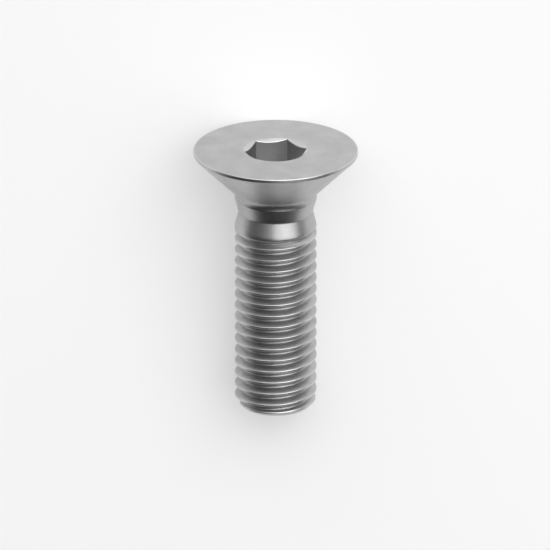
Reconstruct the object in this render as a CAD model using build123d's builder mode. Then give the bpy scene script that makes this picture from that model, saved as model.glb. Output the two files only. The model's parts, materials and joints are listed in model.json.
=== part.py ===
"""Countersunk socket screw, metric M12 x 40, all sizes in millimetres.

The screw is one turned and forged piece of steel: a flat head with a 90 degree cone under it,
a hexagonal socket, a waisted neck and a threaded shank with a chamfered point. Its outline is
drawn once beside the axis and turned round it. The screw lies on its side on the floor, Z = 0,
where a dropped one comes to rest: on the edge of its head and on the edge of its point.
"""

import os
from math import atan2, cos, degrees, radians, sin, sqrt, tan

from build123d import *

# Head
head_diameter = 24.0
head_angle = 90.0  # full angle of the cone that sinks into the plate
rim_height = 0.5  # the narrow upright band round the edge of the head
head_fillet = 1.6  # rounds the corner where the cone meets the neck

# Shank and thread, right-hand coarse pitch; the shank is the envelope that touches the crests
thread_diameter = 12.0
thread_pitch = 1.75
screw_length = 40.0  # from the face of the head to the end of the point
collar_length = 0.9  # full diameter straight under the cone
neck_length = 2.1  # from the collar down to the waist
run_in_length = 2.3  # from the waist down to the first full turn of the thread

# Socket for a hexagonal key
socket_flats = 8.0
socket_depth = 4.6
socket_turn = 8.9  # from the row's X axis to a corner of the hexagon
mouth_diameter = 9.3  # the countersink that leads the key in
mouth_angle = 120.0
pilot_diameter = 7.8  # the hole drilled before the hexagon is pressed in
drill_angle = 120.0

# Radii that follow from the thread: its mean radius at the waist, its root radius at the point
head_radius = head_diameter / 2
shank_radius = thread_diameter / 2
thread_height = thread_pitch * sqrt(3) / 2  # of the sharp triangle that the thread is cut from
waist_radius = shank_radius - 3 / 8 * thread_height
point_radius = shank_radius - 17 / 24 * thread_height
point_chamfer = shank_radius - point_radius  # at 45 degrees

# Depths below the face of the head, one after another down the axis
cone_depth = rim_height + (head_radius - shank_radius) / tan(radians(head_angle / 2))
collar_depth = cone_depth + collar_length
waist_depth = collar_depth + neck_length
thread_depth = waist_depth + run_in_length
chamfer_depth = screw_length - point_chamfer
mouth_depth = (mouth_diameter - pilot_diameter) / 2 / tan(radians(mouth_angle / 2))
drill_depth = socket_depth + pilot_diameter / 2 / tan(radians(drill_angle / 2))

# The fillet keeps on the collar, which it may not outgrow
fillet_reach = tan(radians(head_angle / 4))
neck_fillet = min(head_fillet, 0.95 * collar_length / fillet_reach)

# At rest the line from the rim's lower edge to the point's corner lies along the floor
rest_tilt = atan2(head_radius - shank_radius, chamfer_depth - rim_height)
face_height = rim_height * sin(rest_tilt) + head_radius * cos(rest_tilt)
front_reach = head_radius * sin(rest_tilt)
back_reach = screw_length * cos(rest_tilt) + point_radius * sin(rest_tilt)
face_y = (back_reach - front_reach) / 2

# Centre of the head's face, with Z out of the head along the axis of the screw
head_plane = Plane(
    origin=(0, face_y, face_height),
    x_dir=(1, 0, 0),
    z_dir=(0, cos(rest_tilt), sin(rest_tilt)),
)
# The same centre with the axis of the screw along its Y, for outlines drawn beside the axis
outline_plane = Plane(origin=head_plane.origin, x_dir=head_plane.x_dir, z_dir=-head_plane.y_dir)
screw_axis = Axis(head_plane.origin, head_plane.z_dir)

with BuildPart() as screw:
    # Half of the section, turned round the axis
    with BuildSketch(outline_plane) as section:
        with BuildLine():
            Polyline(
                (0, 0),
                (head_radius, 0),
                (head_radius, -rim_height),
                (shank_radius, -cone_depth),
                (shank_radius, -collar_depth),
                (waist_radius, -waist_depth),
                (shank_radius, -thread_depth),
                (shank_radius, -chamfer_depth),
                (point_radius, -screw_length),
                (0, -screw_length),
                close=True,
            )
        make_face()
        cone_corner = section.vertices().sort_by_distance((shank_radius, -cone_depth, 0))[0]
        fillet(cone_corner, radius=neck_fillet)
    revolve(axis=screw_axis)

    # The pilot hole, with its lead-in at the mouth and the drill's cone at the bottom
    with BuildSketch(outline_plane):
        with BuildLine():
            Polyline(
                (0, 0),
                (mouth_diameter / 2, 0),
                (pilot_diameter / 2, -mouth_depth),
                (pilot_diameter / 2, -socket_depth),
                (0, -drill_depth),
                close=True,
            )
        make_face()
    revolve(axis=screw_axis, mode=Mode.SUBTRACT)

    # The hexagon, pressed in down to its flat shoulder
    with BuildSketch(head_plane):
        RegularPolygon(socket_flats / 2, 6, major_radius=False, rotation=socket_turn)
    extrude(amount=-socket_depth, mode=Mode.SUBTRACT)

screw.part.label = "countersunk_screw"

os.makedirs("parts", exist_ok=True)
export_step(screw.part, "parts/countersunk_screw.step")

print(f"lies {degrees(rest_tilt):.2f} degrees from level, neck fillet {neck_fillet:.2f} mm")
print(f"volume {screw.part.volume:.1f} mm3")
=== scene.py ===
# %% [markdown]
# # A countersunk socket screw, lying on its side
#
# The object is one piece of steel: a flat head with a cone under it, a hexagonal socket pressed
# into the head, a waisted neck and a rolled thread. Nothing on it moves. The solid model gives its
# place and its outer size, with the thread drawn as a plain cylinder over the crests. This lesson
# makes the screw again as one closed mesh, with the real thread, and finishes it in satin steel.
#
# Nearly everything on a screw is round, so nearly everything here is the same trick: a radius that
# depends on how deep you are below the face of the head and on which way round you look.

# %% Load the frame
import json
import math

import bmesh
import bpy
import numpy as np
from mathutils import Matrix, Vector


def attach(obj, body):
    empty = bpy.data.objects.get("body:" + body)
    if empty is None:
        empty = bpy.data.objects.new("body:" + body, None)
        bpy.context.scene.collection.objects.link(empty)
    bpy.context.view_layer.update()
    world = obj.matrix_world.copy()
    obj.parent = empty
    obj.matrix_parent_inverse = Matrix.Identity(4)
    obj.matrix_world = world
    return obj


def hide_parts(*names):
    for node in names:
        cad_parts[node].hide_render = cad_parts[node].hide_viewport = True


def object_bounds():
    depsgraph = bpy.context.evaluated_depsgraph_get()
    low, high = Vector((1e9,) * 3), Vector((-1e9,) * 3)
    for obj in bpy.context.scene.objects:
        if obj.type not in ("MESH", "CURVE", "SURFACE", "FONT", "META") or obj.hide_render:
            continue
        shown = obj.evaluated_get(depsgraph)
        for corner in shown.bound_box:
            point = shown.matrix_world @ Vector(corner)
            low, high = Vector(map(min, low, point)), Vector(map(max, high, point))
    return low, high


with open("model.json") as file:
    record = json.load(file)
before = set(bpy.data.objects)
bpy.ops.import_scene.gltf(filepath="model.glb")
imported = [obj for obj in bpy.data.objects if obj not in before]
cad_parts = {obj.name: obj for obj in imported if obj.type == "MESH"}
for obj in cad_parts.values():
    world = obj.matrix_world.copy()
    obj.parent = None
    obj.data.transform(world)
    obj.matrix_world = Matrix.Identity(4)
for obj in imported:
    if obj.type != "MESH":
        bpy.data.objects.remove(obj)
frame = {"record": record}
cad_low, cad_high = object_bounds()
NODE = "countersunk_screw"
mounts = {mount["name"]: mount for mount in frame["record"]["mounts"]}
print("solid model in mm:", [round(1000 * side, 2) for side in cad_high - cad_low])

# %% [markdown]
# ## Where the screw lies
#
# The screw rests on the edge of its head and the edge of its point, so its axis is not level. We
# take the centre of the head's face and the direction out of it from the frame, and build three
# unit vectors on them. The mesh is then worked out as if the screw stood upright, with x across,
# y towards the floor and z out of the head, and is laid down at the end by these three vectors.

# %% The screw's own axes
face_centre = np.array(mounts["key_socket"]["pos_m"])
outward = np.array(mounts["key_socket"]["axis"])
across = np.array([1.0, 0.0, 0.0])
floorward = np.cross(outward, across)
screw_axes = np.column_stack([across, floorward, outward])
print(f"the axis rises {math.degrees(math.asin(outward[2])):.2f} degrees towards the head")


def laid_down(points):
    """Upright points, one to a row, times the screw's three axes, plus the centre of its face."""
    return points @ screw_axes.T + face_centre


# %% [markdown]
# ## Sizes
#
# The sizes are those of the solid model, in metres. The thread follows from its pitch alone: a
# metric thread is cut from a row of sharp 60 degree triangles, each 0.866 of the pitch high. Its
# mean radius is 3/8 of that height below the crest, and its root 17/24.

# %% Sizes
MM = 0.001
head_radius = (cad_high[0] - cad_low[0]) / 2
shank_radius = mounts["thread"]["dims"]["r_mm"] * MM
screw_length = 40.0 * MM
rim_height = 0.5 * MM
cone_depth = rim_height + head_radius - shank_radius
collar_depth = cone_depth + 0.9 * MM
waist_depth = collar_depth + 2.1 * MM
shank_depth = waist_depth + 2.3 * MM

pitch = 1.75 * MM
triangle_height = pitch * math.sqrt(3) / 2
mean_radius = shank_radius - 3 / 8 * triangle_height
root_radius = shank_radius - 17 / 24 * triangle_height
chamfer_depth = screw_length - (shank_radius - root_radius)
thread_radii = [round(1000 * radius, 3) for radius in (shank_radius, mean_radius, root_radius)]
print("crest, mean and root radius in mm:", thread_radii)

# %% [markdown]
# ## Columns
#
# Every part of the mesh uses the same columns round the axis, so that neighbouring parts meet
# point to point. The first column looks at a corner of the hexagon, and as their number divides
# by six, each of the other corners has a column too. They crowd together there, because that is
# where the socket's walls turn sharply, and they can be wide apart over the flats. One more
# column closes the circle on the first, and the doubled points are merged at the end.

# %% Columns round the axis
COLUMNS = 180
crowding = 0.8
socket_turn = math.radians(8.9)
even_turn = np.linspace(0.0, 1.0, COLUMNS + 1)
# A sine with six waves to a turn, one for each corner, pulls the columns towards the corners
six_waves = 6 * 2 * np.pi
turn = even_turn - crowding * np.sin(six_waves * even_turn) / six_waves
angle = socket_turn + 2 * np.pi * turn


def turned(depth, radius):
    """A surface of rows and columns round the axis.

    x is the radius times the cosine of the column's angle, y is the radius times its sine, and z
    is minus the depth. Depth and radius hold a value for each row, or for each row and column.
    """
    depth, radius, round_axis = np.broadcast_arrays(depth, radius, angle)
    return np.stack([radius * np.cos(round_axis), radius * np.sin(round_axis), -depth], axis=-1)


# %% [markdown]
# ## The outline of the head and the neck
#
# The head is an outline carried round the axis. No corner of a real screw is quite sharp, because
# tumbling after forging leaves a tenth of a millimetre on each. These small radii catch the light,
# and without them a head looks cut from paper. The corner between cone and collar has a proper
# fillet of 1.6 mm, because a screw would crack there without one, and the waist a small one.


# %% A rounded outline
def rounded(corners, radii, steps=6):
    """Points along an outline of straight runs, with an arc at each inner corner.

    The arc's centre lies on the corner's bisector, at the radius over the sine of half the inner
    angle, and the arc swings from one run to the next. Three guard points just past each end of
    an arc keep the long run beside it flat when the mesh is shaded smooth, and free of the wear,
    the painted highlight and the painted shade that the corners get.
    """
    corners = np.array(corners)
    points = [corners[:1]]
    for before, corner, after, radius in zip(corners, corners[1:], corners[2:], radii):
        back = (before - corner) / np.linalg.norm(before - corner)
        on = (after - corner) / np.linalg.norm(after - corner)
        half = math.acos(back @ on) / 2
        centre = corner + (back + on) / np.linalg.norm(back + on) * radius / math.sin(half)
        reach = radius / math.tan(half)
        guards = min(reach / 2, guard_length) * np.array([[1.0], [2.0], [3.0]])
        start, end = corner + back * reach, corner + on * reach
        swing = math.pi - 2 * half
        share = np.linspace(0, 1, steps)[:, None]
        arc = np.sin((1 - share) * swing) * (start - centre) + np.sin(share * swing) * (end - centre)
        points += [start + back * guards[::-1], centre + arc / math.sin(swing), end + on * guards]
    return np.vstack([*points, corners[-1:]])


def run_in_radius(depth):
    """Radius of the cone below the waist, which widens evenly from the mean to the crest radius."""
    widening = (shank_radius - mean_radius) / (shank_depth - waist_depth)
    return mean_radius + widening * (depth - waist_depth)


guard_length = 0.05 * MM
edge_radius = 0.12 * MM
cone_fillet = 1.6 * MM
waist_fillet = 0.4 * MM
mouth_radius = 4.65 * MM
lip_radius = mouth_radius + 0.06 * MM
lip_rings = lip_radius + guard_length * np.arange(5)
thread_start = waist_depth + 0.6 * MM
head_outline = rounded(
    [
        (0.0, lip_rings[-1]),
        (0.0, head_radius),
        (rim_height, head_radius),
        (cone_depth, shank_radius),
        (collar_depth, shank_radius),
        (waist_depth, mean_radius),
        (thread_start, run_in_radius(thread_start)),
    ],
    [edge_radius, edge_radius, cone_fillet, edge_radius, waist_fillet],
)
lip_surface = turned(0.0, lip_rings[:, None])
head_surface = turned(head_outline[:, :1], head_outline[:, 1:])
print("rows in the head and neck:", len(lip_rings) + len(head_outline))

# %% [markdown]
# ## The thread
#
# Below the waist the blank widens again as a short cone, then runs on as a cylinder, and ends in
# a chamfer. That is the solid model's outline, and the thread is a groove in it. The groove has
# no top of its own: its two flanks would meet in a sharp ridge, and the blank's surface cuts that
# ridge off as the flat crest. At the upper end the groove does not stop short. The dies lift out
# of the metal over a pitch or so, and the groove gets shallower and narrower until it is gone.


# %% The form of the thread
crest_half = pitch / 16
root_arc = triangle_height / 6
root_half = root_arc * math.cos(math.radians(30))
floor_angle = math.pi / 2
contact_depth = chamfer_depth - crest_half
run_out_start = shank_depth - 0.5 * MM
run_out_end = shank_depth + 1.3 * MM
crest_rounding = 0.08 * MM


def lesser(one, other):
    """The lesser of two radii, with the corner between them eased.

    Where they differ by less than the rounding, a quarter of the rounding times the square of
    the share still missing is taken off as well.
    """
    share = np.maximum(crest_rounding - np.abs(one - other), 0) / crest_rounding
    return np.minimum(one, other) - share**2 * crest_rounding / 4


def groove_radius(distance):
    """Radius of the groove at a distance along the axis from the middle of a ridge.

    A flank that falls 1.732 for each 1 along the axis, then an arc of a sixth of the triangle's
    height whose lowest point is the root, half a pitch from the ridge.
    """
    flank = shank_radius - math.sqrt(3) * (distance - crest_half)
    to_root = np.clip(pitch / 2 - distance, 0, root_half)
    arc = root_radius + root_arc - np.sqrt(root_arc**2 - to_root**2)
    return np.where(pitch / 2 - distance < root_half, arc, flank)


def blank_radius(depth):
    """Radius of the blank: a cone below the waist, a cylinder, and a chamfer of 45 degrees."""
    chamfer = shank_radius - (depth - chamfer_depth)
    return lesser(lesser(run_in_radius(depth), shank_radius), chamfer)


def thread_radius(depth):
    """Radius of the threaded shank, for a depth in each column: the lesser of blank and groove.

    A ridge's depth falls by one pitch in a turn, which makes the thread right-hand, and one crest
    touches the floor beside the point. The groove is lifted by its whole height where the run-out
    starts, and by less and less down to its end.
    """
    ridge = contact_depth - pitch * (angle - floor_angle) / (2 * np.pi)
    pitches = (depth - ridge) / pitch
    distance = np.abs(pitches - np.round(pitches)) * pitch
    lifted = np.clip((run_out_end - depth) / (run_out_end - run_out_start), 0, 1)
    groove = groove_radius(distance) + lifted * (shank_radius - root_radius)
    return lesser(blank_radius(depth), groove)


# %% [markdown]
# ## A surface that climbs
#
# On a level grid the crests would cross the cells at a slant and come out as a saw's teeth. So
# the rows of this surface climb by one pitch each turn, as the thread does, and every crest,
# flank and root keeps a row of its own. Both ends are cut level: cells beyond the cut shrink to
# nothing there, and go when the doubled points are merged.

# %% Rows of the thread
crest_rows = crest_half + crest_rounding * np.array([-0.6, -0.3, 0.0, 0.3, 0.6])
flank_rows = np.linspace(crest_rows[-1], pitch / 2 - root_half, 4)[1:]
root_rows = pitch / 2 - root_half * np.cos(np.linspace(0, np.pi / 2, 5)[1:])
half_pitch = np.concatenate([crest_rows, flank_rows, root_rows])
one_pitch = np.concatenate([half_pitch, pitch - half_pitch[-2::-1]])

# This surface ends within the chamfer, just short of the rounded edge of the point
thread_end = screw_length - 0.35 * MM
a_crest = contact_depth - pitch * (socket_turn - floor_angle) / (2 * np.pi)
first_turn = math.floor((thread_start - a_crest - one_pitch[0]) / pitch)
last_turn = math.ceil((thread_end - a_crest + one_pitch[0]) / pitch) + 1
row_depth = a_crest + (np.arange(first_turn, last_turn)[:, None] * pitch + one_pitch).ravel()
climbing = np.clip(row_depth[:, None] - pitch * turn, thread_start, thread_end)
thread_surface = turned(climbing, thread_radius(climbing))
print("rows in the thread:", len(row_depth), "with", len(one_pitch), "to a pitch")

# %% The end of the point
point_rounding = 0.2 * MM
end_outline = rounded(
    [
        (thread_end, shank_radius - (thread_end - chamfer_depth)),
        (screw_length, root_radius),
        (screw_length, 0.0),
    ],
    [point_rounding],
)
end_depth, end_radius = end_outline[:, :1], end_outline[:, 1:]
end_surface = turned(end_depth, np.minimum(end_radius, thread_radius(end_depth)))

# %% [markdown]
# ## The socket
#
# A hexagon in polar form is the distance from the axis to whichever of six walls is nearest. Taking
# a high power mean in place of the nearest rounds the corners a little, as a worn punch does. The
# mouth is a shallow countersink that leads the key in: where it meets the flat walls it reaches
# deeper than it does at the corners, which gives the scalloped edge of every such socket. Below
# the hexagon is the cone that the drill left. Both cones are 120 degrees wide.

# %% The socket
socket_half = 4.0 * MM
socket_depth = 4.6 * MM
pilot_radius = 3.9 * MM
half_cone_angle = math.radians(60)
corner_power = 120
wall_angles = socket_turn + math.radians(30) + math.radians(60) * np.arange(6)[:, None]
wall_share = np.maximum(np.cos(angle - wall_angles), 0)
hexagon = socket_half * (wall_share**corner_power).sum(axis=0) ** (-1 / corner_power)


def countersink(radius):
    """Depth of the mouth's 120 degree cone at a radius: 0.577 of the way in from the mouth."""
    return (mouth_radius - radius) / math.tan(half_cone_angle)


def socket_rows():
    """Depth and radius of the socket's rows, from the face of the head to the axis."""
    share = np.array([[0.0], [0.06], [0.94], [1.0]])
    lead_in = mouth_radius + share * (hexagon - mouth_radius)
    down = np.array([[0.03], [0.1], [0.9], [0.97]])
    foot = 0.15 * MM
    wall_top, wall_foot = countersink(hexagon), socket_depth - foot
    quarter = np.linspace(0, np.pi / 2, 5)[:, None]
    drill = pilot_radius * np.array([[1.015], [1.0], [0.985], [0.6], [0.3], [0.1], [0.0]])
    drill_depth = socket_depth + np.maximum(pilot_radius - drill, 0) / math.tan(half_cone_angle)
    round_axis = np.ones_like(hexagon)
    depth = [
        countersink(lead_in),
        wall_top + down * (wall_foot - wall_top),
        (wall_foot + foot * np.sin(quarter)) * round_axis,
        drill_depth * round_axis,
    ]
    radius = [
        lead_in,
        hexagon + 0 * down,
        hexagon - foot * (1 - np.cos(quarter)),
        drill * round_axis,
    ]
    flat = np.zeros((1, COLUMNS + 1))
    return np.vstack([flat, *depth]), np.vstack([flat + lip_radius, *radius])


socket_surface = turned(*socket_rows())
print("socket, corner to corner in mm:", round(2000 * hexagon.max(), 2))

# %% [markdown]
# ## One closed mesh
#
# The five surfaces share their columns and the rings where they meet. We number all their points,
# join each cell of four, and merge what lies on the same spot. That closes the seam, the poles on
# the axis and the level cuts of the thread in one stroke. Then the faces are turned outwards.


# %% Join the surfaces
def cells(rows, first):
    """The corner numbers of each cell of a surface of so many rows, numbered from first."""
    corner = np.arange(rows * (COLUMNS + 1)).reshape(rows, COLUMNS + 1) + first
    around = [corner[:-1, :-1], corner[:-1, 1:], corner[1:, 1:], corner[1:, :-1]]
    return np.stack(around, axis=-1).reshape(-1, 4)


def closed_mesh(name, surfaces):
    """One mesh of several surfaces, with its doubled points merged and its faces outwards."""
    points = np.vstack([surface.reshape(-1, 3) for surface in surfaces])
    starts = np.cumsum([0] + [surface.shape[0] * surface.shape[1] for surface in surfaces])
    faces = np.vstack([cells(len(surface), start) for surface, start in zip(surfaces, starts)])
    mesh = bpy.data.meshes.new(name)
    mesh.from_pydata(laid_down(points).tolist(), [], faces.tolist())
    work = bmesh.new()
    work.from_mesh(mesh)
    same_spot = 0.0001 * MM
    bmesh.ops.remove_doubles(work, verts=work.verts, dist=same_spot)
    bmesh.ops.recalc_face_normals(work, faces=work.faces)
    open_edges = sum(not edge.is_manifold for edge in work.edges)
    print(name, "has", len(work.calc_loop_triangles()), "triangles and", open_edges, "open edges")
    work.to_mesh(mesh)
    work.free()
    mesh.shade_smooth()
    return mesh


surfaces = [socket_surface, lip_surface, head_surface, thread_surface, end_surface]
screw_mesh = closed_mesh("screw", surfaces)
screw = bpy.data.objects.new("screw", screw_mesh)
bpy.context.scene.collection.objects.link(screw)
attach(screw, "root")
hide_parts(NODE)

# %% [markdown]
# ## Where the steel is worn, and where light and shade are painted on
#
# Bins, hands and other screws polish whatever stands out, which leaves it smoother. The grey is
# also painted lighter where the surface stands out, as a painted highlight, and darker wherever
# it lies deep, as a painted shade. So the steel has to know at each point whether the surface
# bulges or sinks.
# Where it bulges, the normals of neighbouring points lean apart, and where it sinks they lean
# together. We measure that along every edge of the mesh and keep it as an attribute.


# %% Bulges and hollows
def mean_of_edges(values, ends, points):
    """The mean, at each point, of a value given for each edge."""
    return np.bincount(ends.ravel(), np.repeat(values, 2), points) / np.bincount(ends.ravel())


def bulging(mesh, spreading=2):
    """How much the surface bulges at each point, in radians to the metre, and below 0 in hollows.

    Along an edge it is the dot product of the edge and the difference of the normals at its ends,
    over the square of the edge's length. A point takes the mean over its edges. The means are
    then spread, by letting each edge take the mean of its ends, and each point that of its edges.
    """
    points = np.empty((len(mesh.vertices), 3))
    normals = np.empty((len(mesh.vertices), 3))
    ends = np.empty((len(mesh.edges), 2), dtype=np.int32)
    mesh.vertices.foreach_get("co", points.ravel())
    mesh.vertices.foreach_get("normal", normals.ravel())
    mesh.edges.foreach_get("vertices", ends.ravel())
    edge = points[ends[:, 1]] - points[ends[:, 0]]
    lean = normals[ends[:, 1]] - normals[ends[:, 0]]
    bulge = mean_of_edges((lean * edge).sum(axis=1) / (edge**2).sum(axis=1), ends, len(points))
    for _ in range(spreading):
        bulge = mean_of_edges(bulge[ends].mean(axis=1), ends, len(points))
    return bulge


# Wear is 0.5 where the surface is flat, 1 at this bulge and 0 in a hollow as sharp. It makes
# bulges smoother and paints a highlight into their grey, and makes hollows rougher and paints
# shade into their grey.
full_bulge = 3.0 / MM
wear_and_painted_light = np.clip(0.5 + 0.5 * bulging(screw_mesh) / full_bulge, 0.0, 1.0)
screw_mesh.attributes.new("wear_and_painted_light", "FLOAT", "POINT").data.foreach_set("value", wear_and_painted_light)
print(f"points worn bright {np.mean(wear_and_painted_light > 0.8):.0%}, points left dull {np.mean(wear_and_painted_light < 0.4):.0%}")

# %% [markdown]
# ## Satin steel
#
# The screw is plain steel that was tumbled clean: an even grey metal with a fine frosting, faint
# rings from the tool that shaped it, a few light scratches, and clouds where the surface took the
# finish a little differently. The patterns read the object's own coordinates, turned to the
# screw's axes by a Mapping node. The rings read the distance from that axis and along it, so they
# run round the face, the cone and the thread alike.

# %% The steel
steel = bpy.data.materials.new("satin_steel")
steel.use_nodes = True
nodes, links = steel.node_tree.nodes, steel.node_tree.links
shader = nodes["Principled BSDF"]
shader.inputs["Metallic"].default_value = 1.0

coordinates = nodes.new("ShaderNodeTexCoord")
upright = nodes.new("ShaderNodeMapping")
upright.vector_type = "TEXTURE"
upright.inputs["Location"].default_value = face_centre
upright.inputs["Rotation"].default_value = Matrix(screw_axes.tolist()).to_euler()
links.new(coordinates.outputs["Object"], upright.inputs["Vector"])

flattened = nodes.new("ShaderNodeVectorMath")
flattened.operation = "MULTIPLY"
flattened.inputs[1].default_value = (1.0, 1.0, 0.0)
from_axis = nodes.new("ShaderNodeVectorMath")
from_axis.operation = "LENGTH"
upright_parts = nodes.new("ShaderNodeSeparateXYZ")
round_axis = nodes.new("ShaderNodeCombineXYZ")
links.new(upright.outputs["Vector"], flattened.inputs[0])
links.new(flattened.outputs["Vector"], from_axis.inputs[0])
links.new(upright.outputs["Vector"], upright_parts.inputs["Vector"])
links.new(from_axis.outputs["Value"], round_axis.inputs["X"])
links.new(upright_parts.outputs["Z"], round_axis.inputs["Z"])


# %% Helpers for the patterns
def noise(vector, scale, detail, stretch=(1.0, 1.0, 1.0), swing=0.0):
    """A noise pattern with so many features to the metre, swung round the axis and stretched."""
    placed = nodes.new("ShaderNodeMapping")
    placed.inputs["Rotation"].default_value = (0.0, 0.0, math.radians(swing))
    placed.inputs["Scale"].default_value = stretch
    pattern = nodes.new("ShaderNodeTexNoise")
    pattern.inputs["Scale"].default_value = scale
    pattern.inputs["Detail"].default_value = detail
    links.new(vector.outputs["Vector"], placed.inputs["Vector"])
    links.new(placed.outputs["Vector"], pattern.inputs["Vector"])
    return pattern.outputs["Fac"]


def between(value, low, high, start=0.0, end=1.0):
    """A value from start to end spread between two others, and held there outside that range."""
    spread = nodes.new("ShaderNodeMapRange")
    spread.inputs["From Min"].default_value = start
    spread.inputs["From Max"].default_value = end
    spread.inputs["To Min"].default_value = low
    spread.inputs["To Max"].default_value = high
    links.new(value, spread.inputs["Value"])
    return spread.outputs["Result"]


def reckoned(operation, *values):
    """One value out of several, by adding or multiplying them all or taking the largest."""
    result = values[0]
    for value in values[1:]:
        step = nodes.new("ShaderNodeMath")
        step.operation = operation
        links.new(result, step.inputs[0])
        links.new(value, step.inputs[1])
        result = step.outputs["Value"]
    return result


# %% The patterns and what they change
wear_and_light_reader = nodes.new("ShaderNodeAttribute")
wear_and_light_reader.attribute_name = "wear_and_painted_light"
clouds = noise(upright, 260.0, 4.0)
frosting = noise(upright, 4200.0, 3.0)
rings = noise(round_axis, 2600.0, 3.0)
lengthwise = (0.05, 1.0, 1.0)
one_way = between(noise(upright, 5200.0, 1.0, lengthwise, swing=24.0), 0.0, 1.0, 0.70, 0.76)
other_way = between(noise(upright, 4400.0, 1.0, lengthwise, swing=-52.0), 0.0, 1.0, 0.71, 0.77)
scratches = reckoned("MAXIMUM", one_way, other_way)

# The wear value scales the grey from 0.70 in hollows, a painted shade, to 1.10 on bulges, a painted
# highlight
grey = reckoned(
    "MULTIPLY",
    between(clouds, 0.495, 0.575, 0.3, 0.7),
    between(frosting, 0.96, 1.04, 0.3, 0.7),
    between(wear_and_light_reader.outputs["Fac"], 0.70, 1.10),
    between(rings, 0.97, 1.03, 0.3, 0.7),
    between(scratches, 1.0, 1.12),
)
links.new(grey, shader.inputs["Base Color"])
roughness = reckoned(
    "ADD",
    between(clouds, 0.42, 0.37, 0.3, 0.7),
    between(wear_and_light_reader.outputs["Fac"], 0.09, -0.09),
    between(scratches, 0.0, -0.06),
)
links.new(roughness, shader.inputs["Roughness"])

bump = nodes.new("ShaderNodeBump")
bump.inputs["Strength"].default_value = 0.6
bump.inputs["Distance"].default_value = 0.01 * MM
height = reckoned(
    "ADD", between(frosting, 0.0, 0.5), between(rings, 0.0, 0.7), between(scratches, 0.0, -0.2)
)
links.new(height, bump.inputs["Height"])
links.new(bump.outputs["Normal"], shader.inputs["Normal"])
screw_mesh.materials.append(steel)

# %% [markdown]
# ## The floor
#
# The floor is a plain pale sheet that takes the screw's shadow. A photographer lets such a sheet
# run up behind the object into an even white. Here the floor does that by its distance from the
# screw: far off, it is seen as white whatever light falls on it, by the eye and in the metal
# alike, but it throws no more light on the screw than before.

# %% The floor
floor_mesh = bpy.data.meshes.new("floor")
floor_half = 5.0
floor_corners = floor_half * np.array([[-1, -1, 0], [1, -1, 0], [1, 1, 0], [-1, 1, 0]])
floor_mesh.from_pydata(floor_corners.tolist(), [], [(0, 1, 2, 3)])
floor = bpy.data.objects.new("floor", floor_mesh)
bpy.context.scene.collection.objects.link(floor)

pale = bpy.data.materials.new("pale_floor")
pale.use_nodes = True
nodes, links = pale.node_tree.nodes, pale.node_tree.links
paper = nodes["Principled BSDF"]
paper.inputs["Base Color"].default_value = (0.9, 0.9, 0.9, 1.0)
paper.inputs["Roughness"].default_value = 0.9
paper.inputs["Specular IOR Level"].default_value = 0.0
white = nodes.new("ShaderNodeEmission")

place = nodes.new("ShaderNodeTexCoord")
away = nodes.new("ShaderNodeVectorMath")
away.operation = "LENGTH"
links.new(place.outputs["Object"], away.inputs[0])
whitened = nodes.new("ShaderNodeMapRange")
whitened.interpolation_type = "SMOOTHSTEP"
whitened.inputs["From Min"].default_value = 0.06
whitened.inputs["From Max"].default_value = 0.40
whitened.inputs["To Min"].default_value = 0.45
links.new(away.outputs["Value"], whitened.inputs["Value"])

ray = nodes.new("ShaderNodeLightPath")
share = whitened.outputs["Result"]
seen = ray.outputs["Is Camera Ray"]
for kind in ["Is Glossy Ray", "Is Transmission Ray"]:
    either = nodes.new("ShaderNodeMath")
    either.operation = "MAXIMUM"
    links.new(seen, either.inputs[0])
    links.new(ray.outputs[kind], either.inputs[1])
    seen = either.outputs["Value"]
if_seen = nodes.new("ShaderNodeMath")
if_seen.operation = "MULTIPLY"
links.new(share, if_seen.inputs[0])
links.new(seen, if_seen.inputs[1])
sheet = nodes.new("ShaderNodeMixShader")
links.new(if_seen.outputs["Value"], sheet.inputs["Fac"])
links.new(paper.outputs["BSDF"], sheet.inputs[1])
links.new(white.outputs["Emission"], sheet.inputs[2])
links.new(sheet.outputs["Shader"], nodes["Material Output"].inputs["Surface"])
floor_mesh.materials.append(pale)

# %% [markdown]
# ## The light
#
# Metal shows what stands round it, so it is lit by what it should mirror. A lamp above, a little
# to the right, stands where the cone below the waist mirrors it. A wide soft one beyond the head
# lights the lip of the socket and the upper side of each ridge. It is wide so that it stays dim:
# a flat face turned towards it shows the lamp itself, and a small strong one would show as a
# blank white patch. The room is dark behind the point, which is what the underside of the head
# looks at, and lighter beyond the head.

# %% The room
world = bpy.data.worlds.new("studio")
bpy.context.scene.world = world
world.use_nodes = True
nodes, links = world.node_tree.nodes, world.node_tree.links
direction = nodes.new("ShaderNodeTexCoord")
direction_parts = nodes.new("ShaderNodeSeparateXYZ")
room = nodes.new("ShaderNodeMapRange")
room.inputs["From Min"].default_value = -0.2
room.inputs["To Max"].default_value = 0.6
nodes["Background"].inputs["Color"].default_value = (1.0, 1.0, 1.0, 1.0)
links.new(direction.outputs["Generated"], direction_parts.inputs["Vector"])
links.new(direction_parts.outputs["Y"], room.inputs["Value"])
links.new(room.outputs["Result"], nodes["Background"].inputs["Strength"])


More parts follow.
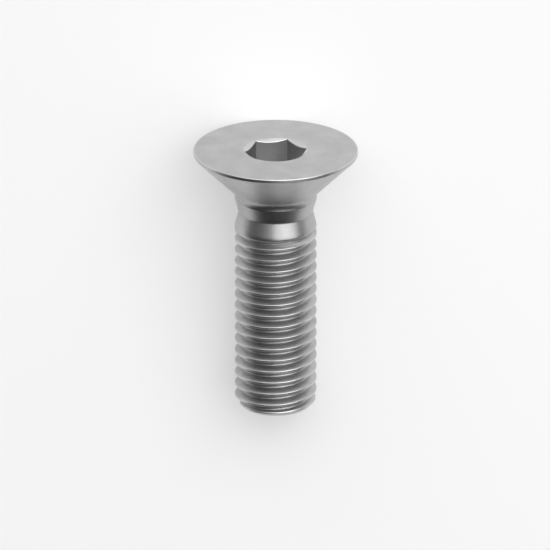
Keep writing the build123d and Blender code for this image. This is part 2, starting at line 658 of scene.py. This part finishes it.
# %% The lamps
def lamp(name, towards, distance, side, power):
    """A square lamp in a direction from the middle of the screw, which it looks at."""
    towards = np.array(towards) / np.linalg.norm(towards)
    sideways = np.cross([0.0, 0.0, 1.0], towards)
    sideways /= np.linalg.norm(sideways)
    axes = np.column_stack([sideways, np.cross(towards, sideways), towards])
    light = bpy.data.lights.new(name, "AREA")
    light.size = side
    light.energy = power
    stand = bpy.data.objects.new(name, light)
    stand.location = (np.array(cad_low) + np.array(cad_high)) / 2 + towards * distance
    stand.rotation_euler = Matrix(axes.tolist()).to_euler()
    stand.visible_camera = False
    bpy.context.scene.collection.objects.link(stand)


lamp("upper_lamp", towards=(0.45, 0.15, 0.88), distance=0.5, side=0.6, power=1.7)
lamp("soft_lamp", towards=(0.1, 0.74, 0.67), distance=1.0, side=1.6, power=11.5)

# %% [markdown]
# ## The camera
#
# The reference is drawn in parallel, from about 22 degrees above the plane across the screw. As the
# screw lies down, a camera at that angle looks almost straight down at it. A very long lens from
# over two metres away comes close to a parallel drawing. The point is still a little further off
# than the head and comes out smaller, so angle and scale are those that fit the whole outline.

# %% The camera
view_angle = math.radians(22.1)
picture_size = 550
pixels_to_a_mm = 6.86
face_pixel = (275.7, 149.7)
upward = -floorward
back = math.sin(view_angle) * outward + math.cos(view_angle) * upward
up = math.cos(view_angle) * outward - math.sin(view_angle) * upward
right_of_middle = (face_pixel[0] - picture_size / 2) / pixels_to_a_mm * MM
above_middle = (picture_size / 2 - face_pixel[1]) / pixels_to_a_mm * MM
target = face_centre - across * right_of_middle - up * above_middle

camera_data = bpy.data.cameras.new("camera")
camera_data.lens = 1000.0
view_width = picture_size / pixels_to_a_mm * MM
view_distance = view_width * camera_data.lens / camera_data.sensor_width
camera_data.clip_end = 100.0
camera = bpy.data.objects.new("camera", camera_data)
bpy.context.scene.collection.objects.link(camera)
camera.location = target + view_distance * back
camera.rotation_euler = Matrix(np.column_stack([across, up, back]).tolist()).to_euler()
bpy.context.scene.camera = camera
bpy.context.scene.view_settings.view_transform = "Standard"
print("the camera stands", round(view_distance, 2), "m away")
